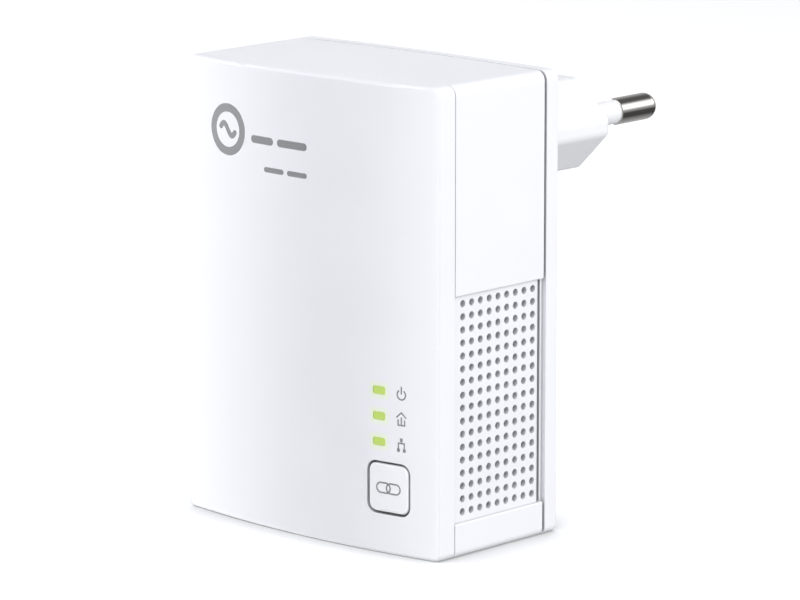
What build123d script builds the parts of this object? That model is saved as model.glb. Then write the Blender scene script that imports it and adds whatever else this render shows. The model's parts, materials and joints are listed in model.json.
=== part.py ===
from build123d import *

import os
from math import atan, copysign, cos, sin, sqrt

# A plug-in powerline network adapter with a flat two-pin European plug, piece by piece.
# Millimetres. +Z is up, the front faces -Y and the plug points to +Y.
# The origin is the middle of the housing's flat bottom.

os.makedirs("parts", exist_ok=True)

# ---------------------------------------------------------------- driving dimensions

# Housing: front cover, middle housing and rear cover, one behind the other
housing_width = 49.4
housing_height = 67.0
flank_depth = 24.4
top_corner_radius = 1.5
bottom_corner_radius = 1.0
wall = 1.8
cover_wall = 1.7  # 0.1 less than wall, so that a cover slips over the housing's skirt
front_cover_depth = 3.05  # at the flanks
rear_cover_depth = 2.7
front_gap = 0.12
rear_groove = 0.5
front_bow = -2.5  # how far the middle of each face stands from its edges, along Y
front_seam_bow = -1.6
rear_seam_bow = 1.6
rear_bow = 1.0
seam_chamfer = 0.06

# Side grilles
grille_bottom = 4.85
grille_top = 37.35
grille_recess = 0.4
row_pitch = 1.861
column_pitch = 1.836
hole_diameter = 1.04
hole_columns = 9
hole_rows = 17
first_hole_from_front = 4.82
top_hole_height = 36.15

# Status lights and pairing button, on the front
light_x = 14.5
light_heights = {"power": 23.45, "powerline": 19.78, "ethernet": 16.1}
light_window = (2.16, 1.16)
button_x = 16.1
button_z = 9.5
button_width = 6.9
button_height = 7.0
button_corner = 1.25
button_gap = 0.32
button_travel = 0.35

# Plug, to the flat two-pole standard
plug_z = 55.57
boss_width = 34.6
boss_height = 13.4
boss_tip = 2.3
boss_end = 32.4
pin_diameter = 4.0
pin_core_diameter = 3.0
sleeve_diameter = 3.6
sleeve_length = 10.0
pin_length = 19.0
pin_spacing_at_base = 18.6
pin_spacing_at_tip = 17.5
fixed_clearance = 0.03  # radial, between round parts that are fixed together
sleeve_clearance = 0.1  # radial, where a leaning sleeve leaves the boss's square end face

# Circuit boards, both upright and facing the front
board_thickness = 1.6
main_board_front = -7.2
power_board_front = 6.4

# Ethernet socket, opening downwards through the housing's bottom
jack_width = 15.9
jack_depth = 13.2
jack_length = 20.5
jack_recess = 0.4
shield_thickness = 0.25
port_gap = 0.3

# ---------------------------------------------------------------- derived positions

half_width = housing_width / 2
front_edge = -flank_depth / 2
rear_edge = flank_depth / 2
front_seam = front_edge + front_cover_depth
rear_cover_front = rear_edge - rear_cover_depth
rear_seam = rear_cover_front - rear_groove
inner_front_edge = front_edge + wall
rear_floor = rear_edge - 1.9
main_board_rear = main_board_front + board_thickness
power_board_rear = power_board_front + board_thickness
pin_lean = atan((pin_spacing_at_base - pin_spacing_at_tip) / 2 / pin_length)
jack_y = main_board_rear + jack_depth / 2
jack_top = jack_recess + jack_length
beyond = 1.0  # how far a cutting shape runs past what it cuts
far_front = 2 * front_edge
far_rear = 2 * rear_edge
least_inner_corner = 0.5


def save(piece, name):
    piece.part.label = name
    export_step(piece.part, f"parts/{name}.step")


def facing_front(y):
    """A sketch plane across the object at y, with X to the right and Z up; extrusions grow to -Y."""
    return Plane.XZ.offset(-y)


def bowed_y(x, edge, bow):
    """Y at x of an arc that is at edge over the flanks and at edge + bow in the middle."""
    radius = (half_width**2 + bow**2) / (2 * abs(bow))
    return edge + copysign(abs(bow) - radius + sqrt(radius**2 - x**2), bow)


def housing_slab(inset, front, bow_of_front, rear, bow_of_rear):
    """A slice of the housing's rounded outline, drawn in by inset, between two bowed faces."""
    reach = half_width + beyond
    with BuildPart() as slab:
        with BuildSketch(Plane.XZ) as outline:
            with Locations((0, housing_height / 2)):
                Rectangle(housing_width - 2 * inset, housing_height - 2 * inset)
            top_radius = max(top_corner_radius - inset, least_inner_corner)
            fillet(outline.vertices().group_by(Axis.Y)[-1], top_radius)
            bottom_radius = max(bottom_corner_radius - inset, least_inner_corner)
            fillet(outline.vertices().group_by(Axis.Y)[0], bottom_radius)
        extrude(amount=2 * flank_depth, both=True)
        with BuildSketch(Plane.XY):
            with BuildLine():
                front_line = ThreePointArc(
                    (-reach, bowed_y(reach, front, bow_of_front)),
                    (0, front + bow_of_front),
                    (reach, bowed_y(reach, front, bow_of_front)),
                )
                rear_line = ThreePointArc(
                    (-reach, bowed_y(reach, rear, bow_of_rear)),
                    (0, rear + bow_of_rear),
                    (reach, bowed_y(reach, rear, bow_of_rear)),
                )
                Line(front_line @ 0, rear_line @ 0)
                Line(front_line @ 1, rear_line @ 1)
            make_face()
        extrude(amount=2 * housing_height, both=True, mode=Mode.INTERSECT)
    return slab.part


# ---------------------------------------------------------------- front cover

face_round = 0.5
post_diameter = 5.0
pilot_diameter = 1.8
pilot_depth = 4.2
board_screw_places = [(-18.5, 8.0), (-18.5, 58.0), (18.5, 58.0), (18.5, 31.0)]
guide_wall = 0.8
guide_width = 9.3
guide_height = 9.4
guide_front = -12.6
guide_rear = -9.4
guide_outer_corner = 1.4
guide_inner_corner = 0.7
light_window_corner = 0.35

cover_block = housing_slab(0, front_edge, front_bow, front_seam, front_seam_bow)
cover_hollow = housing_slab(cover_wall, inner_front_edge, front_bow, far_rear, rear_bow)

with BuildPart() as front_cover:
    add(cover_block)
    fillet(front_cover.faces().sort_by(Axis.Y)[0].edges(), face_round)
    chamfer(front_cover.faces().sort_by(Axis.Y)[-1].edges(), seam_chamfer)
    add(cover_hollow, mode=Mode.SUBTRACT)
    # posts that carry the main board
    with BuildSketch(facing_front(main_board_front)):
        with Locations(*board_screw_places):
            Circle(post_diameter / 2)
    extrude(amount=main_board_front - front_edge)
    with BuildSketch(facing_front(main_board_front)):
        with Locations(*board_screw_places):
            Circle(pilot_diameter / 2)
    extrude(amount=pilot_depth, mode=Mode.SUBTRACT)
    # square guide around the pairing button
    with BuildSketch(facing_front(guide_rear)):
        with Locations((button_x, button_z)):
            RectangleRounded(
                guide_width + 2 * guide_wall, guide_height + 2 * guide_wall, guide_outer_corner
            )
            RectangleRounded(guide_width, guide_height, guide_inner_corner, mode=Mode.SUBTRACT)
    extrude(amount=guide_rear - guide_front)
    # openings for the button and the three lights
    with BuildSketch(facing_front(guide_rear)):
        with Locations((button_x, button_z)):
            RectangleRounded(
                button_width + 2 * button_gap,
                button_height + 2 * button_gap,
                button_corner + button_gap,
            )
    extrude(amount=-far_front, mode=Mode.SUBTRACT)
    with BuildSketch(facing_front(guide_rear)):
        with Locations(*[(light_x, z) for z in light_heights.values()]):
            RectangleRounded(light_window[0], light_window[1], light_window_corner)
    extrude(amount=-far_front, mode=Mode.SUBTRACT)
save(front_cover, "front_cover")

# ---------------------------------------------------------------- middle housing

skirt_thickness = 1.0
skirt_inside = 0.9  # how far a skirt backs the housing's own wall
land_inset = 0.5  # the front cover rests on a land that starts this far in
front_skirt_reach = 1.2
rear_skirt_reach = 1.0
case_post_x = 19.9
case_post_z = 4.4
case_post_diameter = 5.6
case_post_front = -1.0
case_pad_diameter = 6.4  # the rear cover's pads, which the skirt makes room for
case_pad_gap = 0.2
case_screw_places = [(case_post_x, case_post_z), (-case_post_x, case_post_z)]
port_width = jack_width + 2 * port_gap
port_depth = jack_depth + 2 * port_gap
port_corner = 0.4
window_height = grille_top - grille_bottom
window_round = 0.2


def is_window_edge(edge):
    """Whether an edge is the upper or lower lip of a grille's window, on the flank."""
    middle = edge.center()
    near = 0.01
    on_flank = abs(abs(middle.X) - half_width) < near
    at_lip = min(abs(middle.Z - grille_top), abs(middle.Z - grille_bottom)) < near
    return on_flank and at_lip and front_seam < middle.Y < rear_seam


ring_front = front_seam + front_gap
ring_block = housing_slab(0, ring_front, front_seam_bow, rear_seam, rear_seam_bow)
land_block = housing_slab(land_inset, front_seam, front_seam_bow, front_seam + wall, rear_bow)
skirt_block = housing_slab(
    wall,
    front_seam - front_skirt_reach,
    front_seam_bow,
    rear_seam + rear_skirt_reach,
    rear_bow,
)
ring_hollow = housing_slab(
    wall,
    front_seam + skirt_inside,
    front_seam_bow,
    rear_seam - skirt_inside,
    rear_seam_bow,
)
skirt_hollow = housing_slab(
    wall + skirt_thickness, far_front, front_bow, far_rear, rear_bow
)

with BuildPart() as middle_housing:
    add(ring_block)
    chamfer(middle_housing.faces().sort_by(Axis.Y)[0].edges(), seam_chamfer)
    chamfer(middle_housing.faces().sort_by(Axis.Y)[-1].edges(), seam_chamfer)
    add(land_block)
    add(skirt_block)
    add(skirt_hollow, mode=Mode.SUBTRACT)
    add(ring_hollow, mode=Mode.SUBTRACT)
    # windows for the side grilles, from seam to seam, which leave the skirts behind them
    with BuildSketch(Plane.XZ):
        with Locations(
            (half_width - wall + beyond, grille_bottom + window_height / 2),
            (-half_width + wall - beyond, grille_bottom + window_height / 2),
        ):
            Rectangle(2 * beyond, window_height)
    extrude(amount=rear_seam + beyond, both=True, mode=Mode.SUBTRACT)
    fillet(middle_housing.edges().filter_by(is_window_edge), window_round)
    # posts for the two case screws, standing on the bottom wall
    with BuildSketch(facing_front(rear_seam)):
        with Locations(*case_screw_places):
            Circle(case_pad_diameter / 2 + case_pad_gap)
    extrude(amount=rear_seam - rear_edge, mode=Mode.SUBTRACT)
    with BuildSketch(facing_front(rear_seam)):
        with Locations(*case_screw_places):
            Circle(case_post_diameter / 2)
            Circle(pilot_diameter / 2, mode=Mode.SUBTRACT)
    extrude(amount=rear_seam - case_post_front)
    # opening for the Ethernet socket
    with BuildSketch(Plane.XY):
        with Locations((0, jack_y)):
            RectangleRounded(port_width, port_depth, port_corner)
    extrude(amount=wall + skirt_thickness + beyond, both=True, mode=Mode.SUBTRACT)
save(middle_housing, "middle_housing")

# ---------------------------------------------------------------- side grilles

grille_thickness = wall - grille_recess
grille_end_gap = 0.05
grille_front = front_seam + grille_end_gap
grille_rear = rear_seam - grille_end_gap
grille_middle_z = (grille_bottom + grille_top) / 2
holes_middle_y = front_edge + first_hole_from_front + column_pitch * (hole_columns - 1) / 2
holes_middle_z = top_hole_height - row_pitch * (hole_rows - 1) / 2
grille_roll = 0.95
hook_width = 3.0
hook_reach = 1.2
hook_thickness = 0.8
hook_y = -4.0

for side, name in ((1, "side_grille_right"), (-1, "side_grille_left")):
    inner_face = Plane(
        origin=(side * (half_width - wall), 0, 0), x_dir=(0, 1, 0), z_dir=(1, 0, 0)
    )
    with BuildPart() as side_grille:
        with BuildSketch(inner_face):
            with Locations(((grille_front + grille_rear) / 2, grille_middle_z)):
                Rectangle(grille_rear - grille_front, window_height)
            with Locations((holes_middle_y, holes_middle_z)):
                with GridLocations(column_pitch, row_pitch, hole_columns, hole_rows):
                    Circle(hole_diameter / 2, mode=Mode.SUBTRACT)
        extrude(amount=side * grille_thickness)
        # the edge beside the rear seam rolls inwards
        rear_edges = side_grille.edges().filter_by(Axis.Z).group_by(Axis.Y)[-1]
        fillet(rear_edges.sort_by(Axis.X)[-1 if side > 0 else 0], grille_roll)
        # hooks that catch behind the housing's wall, above and below the window
        with BuildSketch(inner_face):
            with Locations((hook_y, grille_middle_z)):
                with GridLocations(0, window_height, 1, 2):
                    Rectangle(hook_width, 2 * hook_reach)
        extrude(amount=-side * hook_thickness)
    save(side_grille, name)

# ---------------------------------------------------------------- rear cover

rear_round = 0.5
neck_inset = 0.8
boss_clearance = 0.05
power_screw_places = [(-18.3, 26.6), (-18.3, 44.4), (18.3, 26.6), (18.3, 44.4)]
case_screw_hole = 2.5
case_screw_head = 4.2
case_head_recess = 4.8
case_head_seat = 11.3


def boss_outline(grow, edge_round):
    """The plug's outline: a flat bar whose ends taper at 45 degrees to a narrow tip."""
    tip_x = boss_width / 2 + grow
    top_z = boss_height / 2 + grow
    tip_z = boss_tip / 2 + grow / 2
    shoulder_x = tip_x - (top_z - tip_z)
    with BuildSketch() as outline:
        with BuildLine():
            Polyline(
                (tip_x, plug_z - tip_z),
                (tip_x, plug_z + tip_z),
                (shoulder_x, plug_z + top_z),
                (-shoulder_x, plug_z + top_z),
                (-tip_x, plug_z + tip_z),
                (-tip_x, plug_z - tip_z),
                (-shoulder_x, plug_z - top_z),
                (shoulder_x, plug_z - top_z),
                close=True,
            )
        make_face()
        fillet(outline.vertices(), edge_round)
    return outline.sketch


boss_edge_round = 1.5
lid_block = housing_slab(0, rear_cover_front, rear_seam_bow, rear_edge, rear_bow)
neck_block = housing_slab(neck_inset, rear_seam, rear_seam_bow, rear_edge - wall / 2, rear_bow)
lid_hollow = housing_slab(cover_wall, far_front, front_bow, rear_floor, rear_bow)
boss_opening = boss_outline(boss_clearance, boss_edge_round)

with BuildPart() as rear_cover:
    add(lid_block)
    fillet(rear_cover.faces().sort_by(Axis.Y)[-1].edges(), rear_round)
    chamfer(rear_cover.faces().sort_by(Axis.Y)[0].edges(), seam_chamfer)
    add(neck_block)
    add(lid_hollow, mode=Mode.SUBTRACT)
    # posts that carry the power board
    with BuildSketch(facing_front(power_board_rear)):
        with Locations(*power_screw_places):
            Circle(post_diameter / 2)
    extrude(amount=power_board_rear - rear_floor - wall / 2)
    # pads under the two case screws
    with BuildSketch(facing_front(rear_seam)):
        with Locations(*case_screw_places):
            Circle(case_pad_diameter / 2)
    extrude(amount=rear_seam - rear_floor - wall / 2)
    with BuildSketch(facing_front(case_post_front)):
        with Locations(*case_screw_places):
            Circle(case_screw_hole / 2)
    extrude(amount=-2 * rear_edge, mode=Mode.SUBTRACT)
    with BuildSketch(facing_front(case_head_seat)):
        with Locations(*case_screw_places):
            Circle(case_head_recess / 2)
    extrude(amount=-rear_edge, mode=Mode.SUBTRACT)
    with BuildSketch(facing_front(power_board_rear)):
        with Locations(*power_screw_places):
            Circle(pilot_diameter / 2)
    extrude(amount=power_board_rear - rear_floor - wall / 3, mode=Mode.SUBTRACT)
    # opening for the plug's boss
    with BuildSketch(facing_front(boss_end)):
        add(boss_opening)
    extrude(amount=boss_end - rear_seam, mode=Mode.SUBTRACT)
save(rear_cover, "rear_cover")

# ---------------------------------------------------------------- plug boss

boss_wall = 2.2
boss_face_thickness = 4.5
boss_face_round = 1.0
flange_grow = 1.5
flange_front = power_board_rear + 0.8
sleeve_in_boss = boss_face_thickness - 0.3
pin_tail = 8.5


def pin_plane(side, distance):
    """The plane across a pin's axis, at a distance outwards from the boss's end face."""
    along = Vector(-side * sin(pin_lean), cos(pin_lean), 0)
    base = Vector(side * pin_spacing_at_base / 2, boss_end, plug_z)
    return Plane(origin=base + along * distance, x_dir=(0, 0, 1), z_dir=along)


boss_profile = boss_outline(0, boss_edge_round)
boss_cavity_profile = boss_outline(-boss_wall, 0.1)
flange_profile = boss_outline(flange_grow, boss_edge_round)
flange_limits = housing_slab(cover_wall, flange_front, rear_bow, rear_floor - 0.02, rear_bow)

with BuildPart() as boss_flange:
    with BuildSketch(facing_front(boss_end)):
        add(flange_profile)
    extrude(amount=boss_end)
    add(flange_limits, mode=Mode.INTERSECT)

with BuildPart() as plug_boss:
    with BuildSketch(facing_front(boss_end)):
        add(boss_profile)
    extrude(amount=boss_end - rear_floor)
    fillet(plug_boss.faces().sort_by(Axis.Y)[-1].edges(), boss_face_round)
    add(boss_flange.part)
    with BuildSketch(facing_front(boss_end - boss_face_thickness)):
        add(boss_cavity_profile)
    extrude(amount=boss_end, mode=Mode.SUBTRACT)
    for side in (1, -1):
        with BuildSketch(pin_plane(side, -boss_end)):
            Circle(sleeve_diameter / 2 + sleeve_clearance)
        extrude(amount=boss_end + beyond, mode=Mode.SUBTRACT)
save(plug_boss, "plug_boss")

# ---------------------------------------------------------------- pins, sleeves, contacts

pin_tip_round = 1.7
pin_shoulder_round = 0.15
barrel_length = 3.5
barrel_diameter = 4.6
blade_offset = 1.95  # from the pin's axis to the middle of the blade
blade_thickness = 0.7
blade_width = 3.0
blade_front = power_board_front - 1.0
blade_rear = boss_end - pin_tail + 1.0
blade_x = pin_spacing_at_base / 2 + (boss_end - blade_rear) * sin(pin_lean) + blade_offset

for side, hand in ((1, "right"), (-1, "left")):
    with BuildPart() as plug_pin:
        with BuildSketch(pin_plane(side, sleeve_length)):
            Circle(pin_diameter / 2)
        extrude(amount=pin_length - sleeve_length)
        fillet(plug_pin.faces().sort_by(Axis.Y)[-1].edges(), pin_tip_round)
        fillet(plug_pin.faces().sort_by(Axis.Y)[0].edges(), pin_shoulder_round)
        with BuildSketch(pin_plane(side, -pin_tail)):
            Circle(pin_core_diameter / 2)
        extrude(amount=pin_tail + sleeve_length)
    save(plug_pin, f"plug_pin_{hand}")

    with BuildPart() as pin_sleeve:
        with BuildSketch(pin_plane(side, -sleeve_in_boss)):
            Circle(sleeve_diameter / 2)
            Circle(pin_core_diameter / 2 + fixed_clearance, mode=Mode.SUBTRACT)
        extrude(amount=sleeve_in_boss + sleeve_length)
    save(pin_sleeve, f"pin_sleeve_{hand}")

    with BuildPart() as pin_contact:
        with BuildSketch(pin_plane(side, -pin_tail)):
            Circle(barrel_diameter / 2)
        extrude(amount=barrel_length)
        with BuildSketch(facing_front(blade_rear)):
            with Locations((side * blade_x, plug_z)):
                Rectangle(blade_thickness, blade_width)
        extrude(amount=blade_rear - blade_front)
        with BuildSketch(pin_plane(side, -boss_end)):
            Circle(pin_core_diameter / 2 + fixed_clearance)
        extrude(amount=boss_end, mode=Mode.SUBTRACT)
    save(pin_contact, f"pin_contact_{hand}")

# ---------------------------------------------------------------- screws

screw_diameter = 1.76  # inside its pilot hole
board_screw_head = 3.8
board_screw_head_height = 1.3
board_screw_reach = 3.6
drive_width = 0.5
drive_length = 2.2
drive_depth = 0.5


def screw_set(places, head_rear, head_height, head_diameter, reach, to_front):
    """Cross-head screws at places. Their heads sit on the plane head_rear; the shanks run to -Y
    if to_front is 1, or to +Y if it is -1."""
    with BuildPart() as screws:
        for place in places:
            with BuildSketch(facing_front(head_rear)):
                with Locations(place):
                    Circle(screw_diameter / 2)
            extrude(amount=to_front * reach)
            with BuildSketch(facing_front(head_rear)):
                with Locations(place):
                    Circle(head_diameter / 2)
            extrude(amount=-to_front * head_height)
            with BuildSketch(facing_front(head_rear - to_front * (drive_depth - head_height))):
                with Locations(place):
                    Rectangle(drive_width, drive_length)
                    Rectangle(drive_length, drive_width)
            extrude(amount=-to_front * head_height, mode=Mode.SUBTRACT)
    return screws


case_screw_head_height = 1.1
case_screw_reach = 8.5
power_screw_reach = 2.2
board_screws = screw_set(
    board_screw_places,
    main_board_rear,
    board_screw_head_height,
    board_screw_head,
    board_thickness + board_screw_reach,
    1,
)
save(board_screws, "board_screws")
power_board_screws = screw_set(
    power_screw_places,
    power_board_front,
    board_screw_head_height,
    board_screw_head,
    board_thickness + power_screw_reach,
    -1,
)
save(power_board_screws, "power_board_screws")
case_screws = screw_set(
    case_screw_places,
    case_head_seat,
    case_screw_head_height,
    case_screw_head,
    case_screw_reach,
    1,
)
save(case_screws, "case_screws")

# ---------------------------------------------------------------- circuit boards

board_hole = 2.3
board_corner = 1.0
main_board_width = 42.4
main_board_bottom = 3.2
main_board_top = 63.6
power_board_width = 41.0
power_board_bottom = 24.0
power_board_top = 63.4
blade_slot_gap = 0.15

with BuildPart() as main_board:
    with BuildSketch(facing_front(main_board_rear)):
        with Locations((0, (main_board_bottom + main_board_top) / 2)):
            RectangleRounded(
                main_board_width, main_board_top - main_board_bottom, board_corner
            )
        with Locations(*board_screw_places):
            Circle(board_hole / 2, mode=Mode.SUBTRACT)
    extrude(amount=board_thickness)
save(main_board, "main_board")

with BuildPart() as power_board:
    with BuildSketch(facing_front(power_board_rear)):
        with Locations((0, (power_board_bottom + power_board_top) / 2)):
            RectangleRounded(
                power_board_width, power_board_top - power_board_bottom, board_corner
            )
        with Locations(*power_screw_places):
            Circle(board_hole / 2, mode=Mode.SUBTRACT)
        with Locations((blade_x, plug_z), (-blade_x, plug_z)):
            Rectangle(
                blade_thickness + 2 * blade_slot_gap,
                blade_width + 2 * blade_slot_gap,
                mode=Mode.SUBTRACT,
            )
    extrude(amount=board_thickness)
save(power_board, "power_board")

barrier_thickness = 0.4
barrier_z = 22.4
barrier_width = 41.0
barrier_gap = 0.4

with BuildPart() as insulating_barrier:
    with BuildSketch(Plane.XY.offset(barrier_z)):
        with Locations((0, (main_board_rear + rear_seam) / 2)):
            Rectangle(barrier_width, rear_seam - main_board_rear - barrier_gap)
    extrude(amount=barrier_thickness)
save(insulating_barrier, "insulating_barrier")

# ---------------------------------------------------------------- parts on the power board


def box_part(board_face, x, z, width, height, depth, edge):
    """A moulded box that stands on a board face, with rounded upright edges."""
    with BuildPart() as box:
        with BuildSketch(facing_front(board_face)):
            with Locations((x, z)):
                RectangleRounded(width, height, edge)
        extrude(amount=depth)
        chamfer(box.faces().sort_by(Axis.Y)[0].edges(), edge / 3)
    return box


def disc_part(x, z, diameter, thickness, stand_off, lead_spacing):
    """A round disc that stands on its edge over the power board, on two wire leads."""
    lead_diameter = 0.6
    centre_y = power_board_front - stand_off - diameter / 2
    with BuildPart() as disc:
        with BuildSketch(Plane.XY.offset(z - thickness / 2)):
            with Locations((x, centre_y)):
                Circle(diameter / 2)
        extrude(amount=thickness)
        fillet(disc.edges().filter_by(GeomType.CIRCLE), thickness / 3)
        with BuildSketch(facing_front(power_board_front)):
            with Locations((x, z)):
                with GridLocations(lead_spacing, 0, 2, 1):
                    Circle(lead_diameter / 2)
        extrude(amount=stand_off + diameter / 3)
    return disc


power_boxes = {
    # name: (x, z, width, height, depth, edge radius)
    "fuse": (-15.6, 61.0, 8.4, 3.8, 7.7, 0.6),
    "x_capacitor": (0.5, 53.6, 13.0, 5.0, 10.0, 0.6),
    "coupling_capacitor": (-14.9, 49.9, 10.0, 4.0, 8.0, 0.5),
    "coupling_transformer": (-16.2, 55.6, 6.4, 5.6, 6.0, 0.8),
    "bridge_rectifier": (7.0, 60.0, 7.6, 5.6, 3.2, 0.4),
    "switching_controller": (2.6, 35.0, 5.0, 4.0, 1.6, 0.2),
    "optocoupler": (-1.6, 29.6, 6.3, 4.5, 3.4, 0.3),
    "output_diode": (-12.6, 26.3, 4.6, 3.2, 2.3, 0.3),
}
for name, sizes in power_boxes.items():
    power_part = box_part(power_board_front, *sizes)
    save(power_part, name)

varistor = disc_part(-3.0, 60.9, 8.6, 3.6, 0.8, 5.0)
save(varistor, "varistor")
y_capacitor = disc_part(16.0, 58.8, 7.0, 2.8, 0.8, 4.0)
save(y_capacitor, "y_capacitor")

# Electrolytic capacitors: two lie on the board end to end, and one stands on it
bulk_diameter = 8.0
bulk_length = 12.0
bulk_x = 12.2
bulk_bottoms = (27.5, 41.0)
can_round = 0.5

with BuildPart() as bulk_capacitors:
    for bottom in bulk_bottoms:
        with BuildSketch(Plane.XY.offset(bottom)):
            with Locations((bulk_x, power_board_front - bulk_diameter / 2)):
                Circle(bulk_diameter / 2)
        extrude(amount=bulk_length)
    fillet(bulk_capacitors.edges().filter_by(GeomType.CIRCLE), can_round)
save(bulk_capacitors, "bulk_capacitors")

output_can_place = (5.0, 29.0)
output_can_diameter = 6.2
output_can_height = 8.0

with BuildPart() as output_capacitor:
    with BuildSketch(facing_front(power_board_front)):
        with Locations(output_can_place):
            Circle(output_can_diameter / 2)
    extrude(amount=output_can_height)
    fillet(output_capacitor.edges().filter_by(GeomType.CIRCLE), can_round)
save(output_capacitor, "output_capacitor")

# Common-mode choke: a ring core lying on the board, wound with two coils
choke_x = 1.2
choke_z = 44.6
core_outer = 10.0
core_inner = 5.4
core_depth = 4.4
choke_wire = 0.6
choke_wire_gap = 0.1
choke_stand_off = choke_wire + choke_wire_gap
turns_per_coil = 6
coil_arc = 110.0

with BuildPart() as choke_core:
    with BuildSketch(facing_front(power_board_front - choke_stand_off)):
        with Locations((choke_x, choke_z)):
            Circle(core_outer / 2)
            Circle(core_inner / 2, mode=Mode.SUBTRACT)
    extrude(amount=core_depth)
save(choke_core, "choke_core")

turn_width = (core_outer - core_inner) / 2 + 2 * choke_wire_gap
turn_depth = core_depth + 2 * choke_wire_gap
turn_middle = (core_outer + core_inner) / 4
core_middle_y = power_board_front - choke_stand_off - core_depth / 2
turn_step = coil_arc / (turns_per_coil - 1)
turn_angles = [
    start + turn_step * turn for start in (-coil_arc / 2, 180 - coil_arc / 2)
    for turn in range(turns_per_coil)
]

with BuildPart() as choke_windings:
    for angle in turn_angles:
        turn_plane = Plane(
            Plane((choke_x, core_middle_y, choke_z), x_dir=(1, 0, 0), z_dir=(0, 0, 1)).location
            * Rotation(0, angle, 0)
        )
        with BuildSketch(turn_plane):
            with Locations((turn_middle, 0)):
                Rectangle(turn_width + 2 * choke_wire, turn_depth + 2 * choke_wire)
                Rectangle(turn_width, turn_depth, mode=Mode.SUBTRACT)
        extrude(amount=choke_wire / 2, both=True)
save(choke_windings, "choke_windings")

# Flyback transformer: a ferrite core around a bobbin with its winding
transformer_x = -11.5
transformer_z = 35.5
transformer_width = 12.0
transformer_height = 12.4
transformer_depth = 9.8
leg_width = 2.0
centre_leg = 3.6
core_thickness = 4.0
yoke = 1.8
window_top = transformer_height / 2 - yoke
bobbin_clear = 0.1
bobbin_wall = 0.5
flange_thickness = 0.6
transformer_middle = power_board_front - transformer_depth / 2
bobbin_half = window_top - bobbin_clear

with BuildPart() as transformer_core:
    with BuildSketch(facing_front(transformer_middle)):
        with Locations((transformer_x, transformer_z)):
            Rectangle(transformer_width, transformer_height)
            with GridLocations((transformer_width - 2 * leg_width + centre_leg) / 2, 0, 2, 1):
                Rectangle(
                    (transformer_width - 2 * leg_width - centre_leg) / 2,
                    2 * window_top,
                    mode=Mode.SUBTRACT,
                )
    extrude(amount=core_thickness / 2, both=True)
save(transformer_core, "transformer_core")

bobbin_inner = centre_leg + 2 * bobbin_clear
bobbin_outer = bobbin_inner + 2 * bobbin_wall
bobbin_depth_inner = core_thickness + 2 * bobbin_clear
bobbin_depth_outer = bobbin_depth_inner + 2 * bobbin_wall
flange_width = transformer_width - 2 * leg_width - 2 * bobbin_clear
winding_width = flange_width - 0.4
winding_depth = transformer_depth - 1.0
winding_corner = 1.2
winding_gap = 0.02
transformer_plane = Plane((transformer_x, transformer_middle, transformer_z))

with BuildPart() as transformer_bobbin:
    with BuildSketch(transformer_plane):
        Rectangle(bobbin_outer, bobbin_depth_outer)
    extrude(amount=bobbin_half, both=True)
    for level in (-bobbin_half, bobbin_half - flange_thickness):
        with BuildSketch(transformer_plane.offset(level)):
            Rectangle(flange_width, transformer_depth)
        extrude(amount=flange_thickness)
    with BuildSketch(transformer_plane):
        Rectangle(bobbin_inner, bobbin_depth_inner)
    extrude(amount=transformer_height, both=True, mode=Mode.SUBTRACT)
save(transformer_bobbin, "transformer_bobbin")

with BuildPart() as transformer_winding:
    with BuildSketch(transformer_plane):
        RectangleRounded(winding_width, winding_depth, winding_corner)
        Rectangle(
            bobbin_outer + 2 * winding_gap, bobbin_depth_outer + 2 * winding_gap, mode=Mode.SUBTRACT
        )
    extrude(amount=bobbin_half - flange_thickness - winding_gap, both=True)
save(transformer_winding, "transformer_winding")

# ---------------------------------------------------------------- connector between the boards

connector_x = -5.6
connector_z = 25.4
connector_width = 8.0
connector_height = 2.4
connector_pins = 4
connector_pitch = 2.0
header_depth = 2.5
header_pin = 0.5
header_pin_hole = 0.6
header_pin_reach = 8.0
header_pin_room = 0.3  # between a pin's end and the bottom of its hole
socket_gap = 0.2
socket_depth = power_board_front - main_board_rear - header_depth - socket_gap

with BuildPart() as board_header:
    with BuildSketch(facing_front(main_board_rear + header_depth)):
        with Locations((connector_x, connector_z)):
            Rectangle(connector_width, connector_height)
            with GridLocations(connector_pitch, 0, connector_pins, 1):
                Rectangle(header_pin_hole, header_pin_hole, mode=Mode.SUBTRACT)
    extrude(amount=header_depth)
save(board_header, "board_header")

with BuildPart() as header_pins:
    with BuildSketch(facing_front(main_board_rear)):
        with Locations((connector_x, connector_z)):
            with GridLocations(connector_pitch, 0, connector_pins, 1):
                Rectangle(header_pin, header_pin)
    extrude(amount=-header_pin_reach)
save(header_pins, "header_pins")

with BuildPart() as board_socket:
    with BuildSketch(facing_front(power_board_front)):
        with Locations((connector_x, connector_z)):
            Rectangle(connector_width, connector_height)
    extrude(amount=socket_depth)
    with BuildSketch(facing_front(main_board_rear + header_pin_reach + header_pin_room)):
        with Locations((connector_x, connector_z)):
            with GridLocations(connector_pitch, 0, connector_pins, 1):
                Rectangle(header_pin_hole, header_pin_hole)
    extrude(amount=header_pin_reach, mode=Mode.SUBTRACT)
save(board_socket, "board_socket")

# ---------------------------------------------------------------- parts on the main board

soc_x = -2.0
soc_z = 42.0
soc_size = 14.0
soc_depth = 0.9
pad_depth = 0.5
pad_size = 13.0
sink_size = 19.0
sink_base = 1.0
fin_height = 2.2
fin_thickness = 0.8
fin_count = 8

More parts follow.
